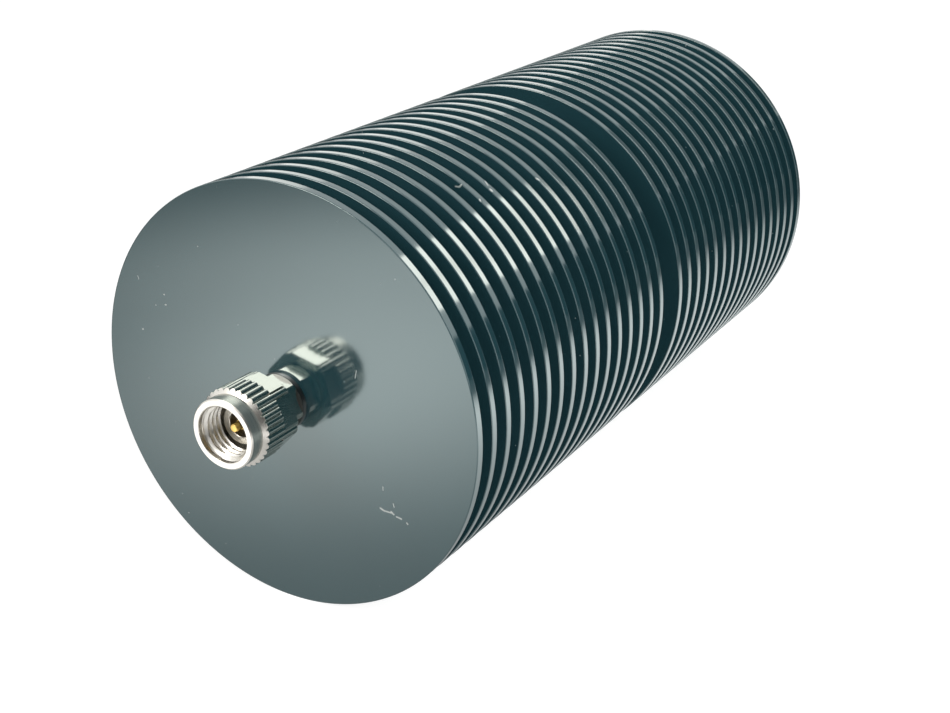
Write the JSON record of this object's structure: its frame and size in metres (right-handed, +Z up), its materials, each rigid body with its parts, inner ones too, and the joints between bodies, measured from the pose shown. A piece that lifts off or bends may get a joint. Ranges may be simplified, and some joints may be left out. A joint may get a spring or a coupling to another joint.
{
  "type": "coaxial attenuator",
  "caption": "Power attenuator for coaxial lines: a round finned black heat sink with a male threaded port on its front face and a female port on its rear face.",
  "frame": {"origin": "centre of the male port's mating plane, where the end of its outer conductor meets the mating connector", "axes": "+Y along the axis from the male port through the heat sink to the female port, +Z up, the male port faces -Y"},
  "size_m": [0.05, 0.1184, 0.05],
  "materials": {
    "anodised_aluminium": "gloss black anodised",
    "stainless_steel": "turned, passivated",
    "gold_plate": "gold plated",
    "spring_bronze": "rolled",
    "nickel_brass": "nickel plated",
    "black_steel": "black oxide",
    "ceramic": "ground",
    "resistor_film": "thin metal film",
    "bead_plastic": "machined plastic"
  },
  "bodies": {
    "attenuator": {"heat_sink": "anodised_aluminium", "rear_end_plug": "anodised_aluminium", "core_set_screws": "black_steel", "carrier_lower_half": "nickel_brass", "carrier_upper_half": "nickel_brass", "carrier_clamp_screws": "black_steel", "attenuator_chip": "ceramic", "resistor_film": "resistor_film", "input_slide_contact": "gold_plate", "output_slide_contact": "gold_plate", "input_retaining_ring": "spring_bronze", "input_outer_conductor": "stainless_steel", "input_connector_body": "stainless_steel", "input_center_pin": "gold_plate", "input_support_bead": "bead_plastic", "output_connector_body": "stainless_steel", "output_bead_bushing": "stainless_steel", "output_center_socket": "gold_plate", "output_support_bead": "bead_plastic"},
    "coupling_nut": {"input_coupling_nut": "stainless_steel"}
  },
  "joints": [
    {"name": "coupling_nut_spin", "type": "hinge", "parent": "attenuator", "child": "coupling_nut", "pos_m": [0, 0, 0], "axis": [0, 1, 0], "continuous": true}
  ]
}
